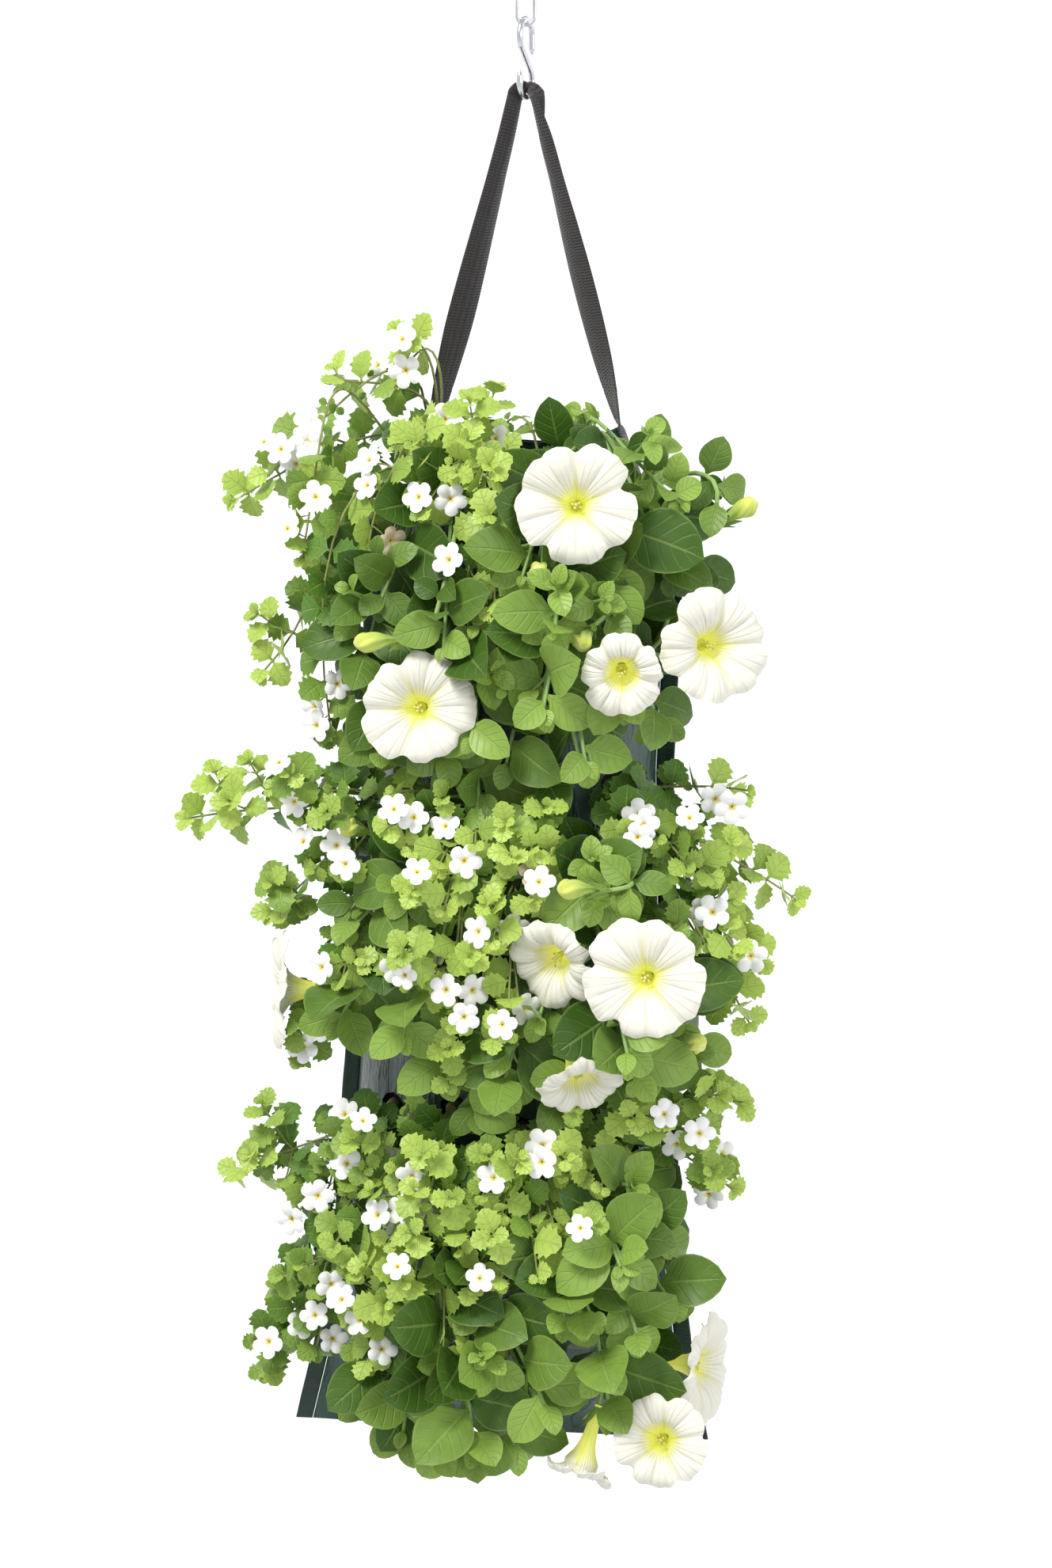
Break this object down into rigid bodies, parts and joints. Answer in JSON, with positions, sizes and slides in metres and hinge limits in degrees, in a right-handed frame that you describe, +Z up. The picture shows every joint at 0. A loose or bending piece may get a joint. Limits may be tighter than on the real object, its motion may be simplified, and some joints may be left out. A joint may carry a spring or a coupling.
{
  "type": "hanging flower pouch with petunias and bacopa",
  "caption": "Woven hanging flower pouch on a webbing strap, S-hook and chain link, filled with compost and planted on top and in front with white petunias and trailing white bacopa.",
  "frame": {"origin": "inside of the chain link's top bend, where the whole thing hangs", "axes": "+Z up, -Y towards the planted front, +X to the right seen from the front"},
  "size_m": [0.3943, 0.2696, 0.8681],
  "materials": {
    "zinc_steel": "bright zinc plate, lightly drawn",
    "strap_webbing": "ribbed black-brown webbing, creased lengthwise",
    "woven_green": "laminated woven plastic cloth, shiny, wrinkled",
    "seam_tape": "folded binding tape, semi-matt",
    "compost": "moist peaty compost, crumbly",
    "petal_white": "soft cream-white petal, yellow-green throat",
    "bud_green": "furled bud, pale yellow-green, downy",
    "petunia_green": "mid-green leaf, downy, paler rim and rib",
    "bacopa_green": "fresh yellow-green leaf, satin"
  },
  "bodies": {
    "root": {"bacopa_low_centre": "bacopa_green", "bacopa_low_inner": "bacopa_green", "bacopa_low_left": "bacopa_green", "bacopa_low_right": "bacopa_green", "bacopa_mid_centre": "bacopa_green", "bacopa_mid_inner": "bacopa_green", "bacopa_mid_left": "bacopa_green", "bacopa_mid_right": "bacopa_green", "bacopa_top_back": "bacopa_green", "bacopa_top_centre": "bacopa_green", "bacopa_top_left": "bacopa_green", "bag": "woven_green", "chain_link": "zinc_steel", "petunia_bloom_01": "petal_white", "petunia_bloom_02": "petal_white", "petunia_bloom_03": "petal_white", "petunia_bloom_04": "petal_white", "petunia_bloom_05": "petal_white", "petunia_bloom_06": "petal_white", "petunia_bloom_07": "petal_white", "petunia_bloom_08": "petal_white", "petunia_bloom_09": "petal_white", "petunia_bloom_10": "petal_white", "petunia_bloom_11": "petal_white", "petunia_bud_1": "bud_green", "petunia_bud_2": "bud_green", "petunia_bud_3": "bud_green", "petunia_bud_4": "bud_green", "petunia_bud_5": "bud_green", "petunia_bud_6": "bud_green", "petunia_bud_7": "bud_green", "petunia_bud_8": "bud_green", "petunia_low_left": "petunia_green", "petunia_low_right": "petunia_green", "petunia_mid_left": "petunia_green", "petunia_mid_right": "petunia_green", "petunia_top_left": "petunia_green", "petunia_top_right": "petunia_green", "s_hook": "zinc_steel", "side_seam_left": "seam_tape", "side_seam_right": "seam_tape", "soil": "compost", "strap": "strap_webbing"}
  },
  "joints": []
}
